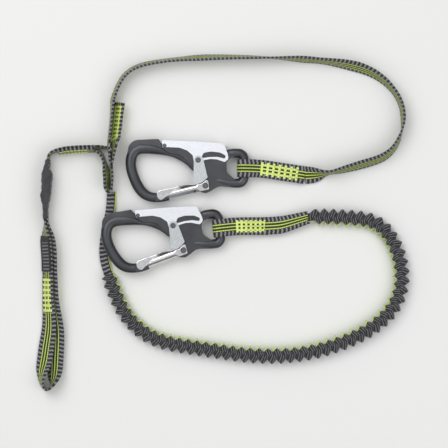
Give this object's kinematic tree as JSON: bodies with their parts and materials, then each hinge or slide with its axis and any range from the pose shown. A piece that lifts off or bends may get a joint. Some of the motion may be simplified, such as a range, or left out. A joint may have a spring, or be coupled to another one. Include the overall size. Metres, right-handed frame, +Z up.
{
  "type": "two-hook safety tether lanyard",
  "caption": "Shock-absorbing safety lanyard: harness strop with a sleeved overload fold, a plain webbing leg and a gathered elastic leg, each with a double-action hook.",
  "frame": {"origin": "on the surface the lanyard lies on, inside the outer end of the harness loop", "axes": "+Z up from the surface; +X from the harness loop towards the hooks' eyes; +Y from the harness loop towards the strop"},
  "size_m": [0.3754, 0.3414, 0.0198],
  "materials": {
    "anodised_aluminium": "satin charcoal anodised, forged",
    "polished_stainless": "polished folded stainless sheet",
    "satin_stainless": "fine satin stainless sheet",
    "rivet_steel": "turned stainless rivets",
    "spring_wire": "drawn stainless wire",
    "tether_webbing": "woven charcoal, grey and lime polyester webbing",
    "gathered_webbing": "tubular webbing gathered over an elastic core",
    "lime_thread": "bonded lime sewing thread",
    "sleeve_fabric": "matte charcoal elastic sleeve",
    "label_fabric": "woven black label with plain pale marks",
    "elastic_core": "round rubber core"
  },
  "bodies": {
    "webbing": {"straight_leg_hook_strap": "tether_webbing", "straight_leg_hook_tack": "lime_thread", "straight_leg_webbing": "tether_webbing", "straight_leg_link_loop": "tether_webbing", "straight_leg_link_tack": "lime_thread", "elastic_leg_hook_strap": "tether_webbing", "elastic_leg_hook_tack": "lime_thread", "elastic_leg_hook_end": "tether_webbing", "elastic_leg_cover": "gathered_webbing", "elastic_leg_core": "elastic_core", "elastic_leg_link_end": "tether_webbing", "link_loop_webbing": "tether_webbing", "strop_webbing": "tether_webbing", "strop_stitching": "lime_thread", "overload_fold_webbing": "tether_webbing", "overload_fold_stitching": "lime_thread", "overload_sleeve": "sleeve_fabric", "harness_loop_webbing": "tether_webbing", "harness_loop_tack": "lime_thread", "information_label": "label_fabric"},
    "straight_hook": {"straight_hook_body": "anodised_aluminium", "straight_hook_gate_rivet": "rivet_steel", "straight_hook_gate_spring": "spring_wire", "straight_hook_lever_pin": "rivet_steel", "straight_hook_lever_spring": "spring_wire"},
    "straight_hook_gate": {"straight_hook_gate": "polished_stainless"},
    "straight_hook_lever": {"straight_hook_lever": "satin_stainless", "straight_hook_lock_rivet": "rivet_steel"},
    "straight_hook_lock_plates": {"straight_hook_front_lock_plate": "satin_stainless", "straight_hook_rear_lock_plate": "satin_stainless"},
    "elastic_hook": {"elastic_hook_body": "anodised_aluminium", "elastic_hook_gate_rivet": "rivet_steel", "elastic_hook_gate_spring": "spring_wire", "elastic_hook_lever_pin": "rivet_steel", "elastic_hook_lever_spring": "spring_wire"},
    "elastic_hook_gate": {"elastic_hook_gate": "polished_stainless"},
    "elastic_hook_lever": {"elastic_hook_lever": "satin_stainless", "elastic_hook_lock_rivet": "rivet_steel"},
    "elastic_hook_lock_plates": {"elastic_hook_front_lock_plate": "satin_stainless", "elastic_hook_rear_lock_plate": "satin_stainless"}
  },
  "joints": [
    {"name": "straight_hook_swing", "type": "hinge", "parent": "webbing", "child": "straight_hook", "pos_m": [0.202, 0.216, 0.008], "axis": [0, 1, 0], "range_deg": [0, 120]},
    {"name": "straight_gate_opening", "type": "hinge", "parent": "straight_hook", "child": "straight_hook_gate", "pos_m": [0.1627, 0.1981, 0.008], "axis": [0, 0, -1], "range_deg": [0, 30], "stiffness_Nm_per_rad": 0.2, "springref_deg": -14.32, "deforming": ["straight_hook_gate_spring"]},
    {"name": "straight_lever_squeeze", "type": "hinge", "parent": "straight_hook", "child": "straight_hook_lever", "pos_m": [0.121, 0.2389, 0.008], "axis": [0, 0, -1], "range_deg": [0, 5], "stiffness_Nm_per_rad": 6.9, "springref_deg": -2.58, "deforming": ["straight_hook_lever_spring"]},
    {"name": "straight_lock_plate_turn", "type": "hinge", "parent": "straight_hook_lever", "child": "straight_hook_lock_plates", "pos_m": [0.1553, 0.2242, 0.008], "axis": [0, 0, 1], "range_deg": [0, 8]},
    {"name": "elastic_hook_swing", "type": "hinge", "parent": "webbing", "child": "elastic_hook", "pos_m": [0.177, 0.155, 0.008], "axis": [-0.1236, 0.9923, 0], "range_deg": [0, 120]},
    {"name": "elastic_gate_opening", "type": "hinge", "parent": "elastic_hook", "child": "elastic_hook_gate", "pos_m": [0.14022, 0.13238, 0.00889], "axis": [-0.0225, -0.0028, -0.9997], "range_deg": [0, 30], "stiffness_Nm_per_rad": 0.2, "springref_deg": -14.32, "deforming": ["elastic_hook_gate_spring"]},
    {"name": "elastic_lever_squeeze", "type": "hinge", "parent": "elastic_hook", "child": "elastic_hook_lever", "pos_m": [0.09381, 0.16772, 0.00984], "axis": [-0.0225, -0.0028, -0.9997], "range_deg": [0, 5], "stiffness_Nm_per_rad": 6.9, "springref_deg": -2.58, "deforming": ["elastic_hook_lever_spring"]},
    {"name": "elastic_lock_plate_turn", "type": "hinge", "parent": "elastic_hook_lever", "child": "elastic_hook_lock_plates", "pos_m": [0.12966, 0.15737, 0.00906], "axis": [0.0225, 0.0028, 0.9997], "range_deg": [0, 8]}
  ],
  "couplings": [
    {"joint": "straight_lock_plate_turn", "follows": "straight_lever_squeeze", "ratio": 1.6},
    {"joint": "elastic_lock_plate_turn", "follows": "elastic_lever_squeeze", "ratio": 1.6}
  ]
}
